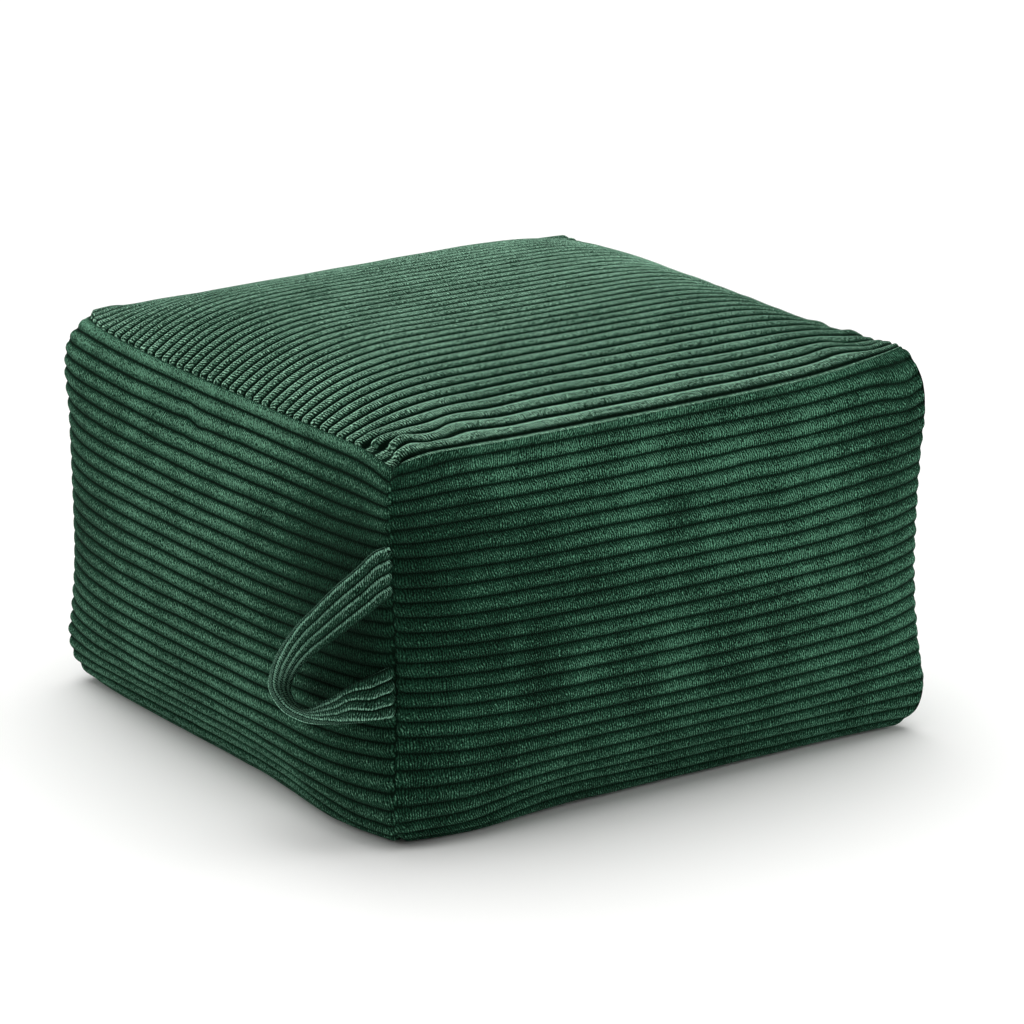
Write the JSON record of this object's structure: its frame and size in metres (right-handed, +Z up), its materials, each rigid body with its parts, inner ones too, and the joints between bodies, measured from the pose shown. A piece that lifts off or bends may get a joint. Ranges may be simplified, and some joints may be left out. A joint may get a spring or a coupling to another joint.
{
  "type": "pouf",
  "caption": "Square filled floor pouf sewn from wide-ribbed corduroy, with a crowned top, drawn-in sides and a strap handle in one upright seam.",
  "frame": {"origin": "on the floor, under the middle of the square of upright seams", "axes": "+Z is up, the front panel faces -Y and the left panel, with the handle lying against it, faces -X"},
  "size_m": [0.5341, 0.4993, 0.3197],
  "materials": {
    "body": "dark green jumbo corduroy, matt pile, ribs about 11 mm apart",
    "handle": "the same dark green corduroy, ribs lengthwise"
  },
  "bodies": {
    "root": {"body": "body", "handle": "handle"}
  },
  "joints": []
}
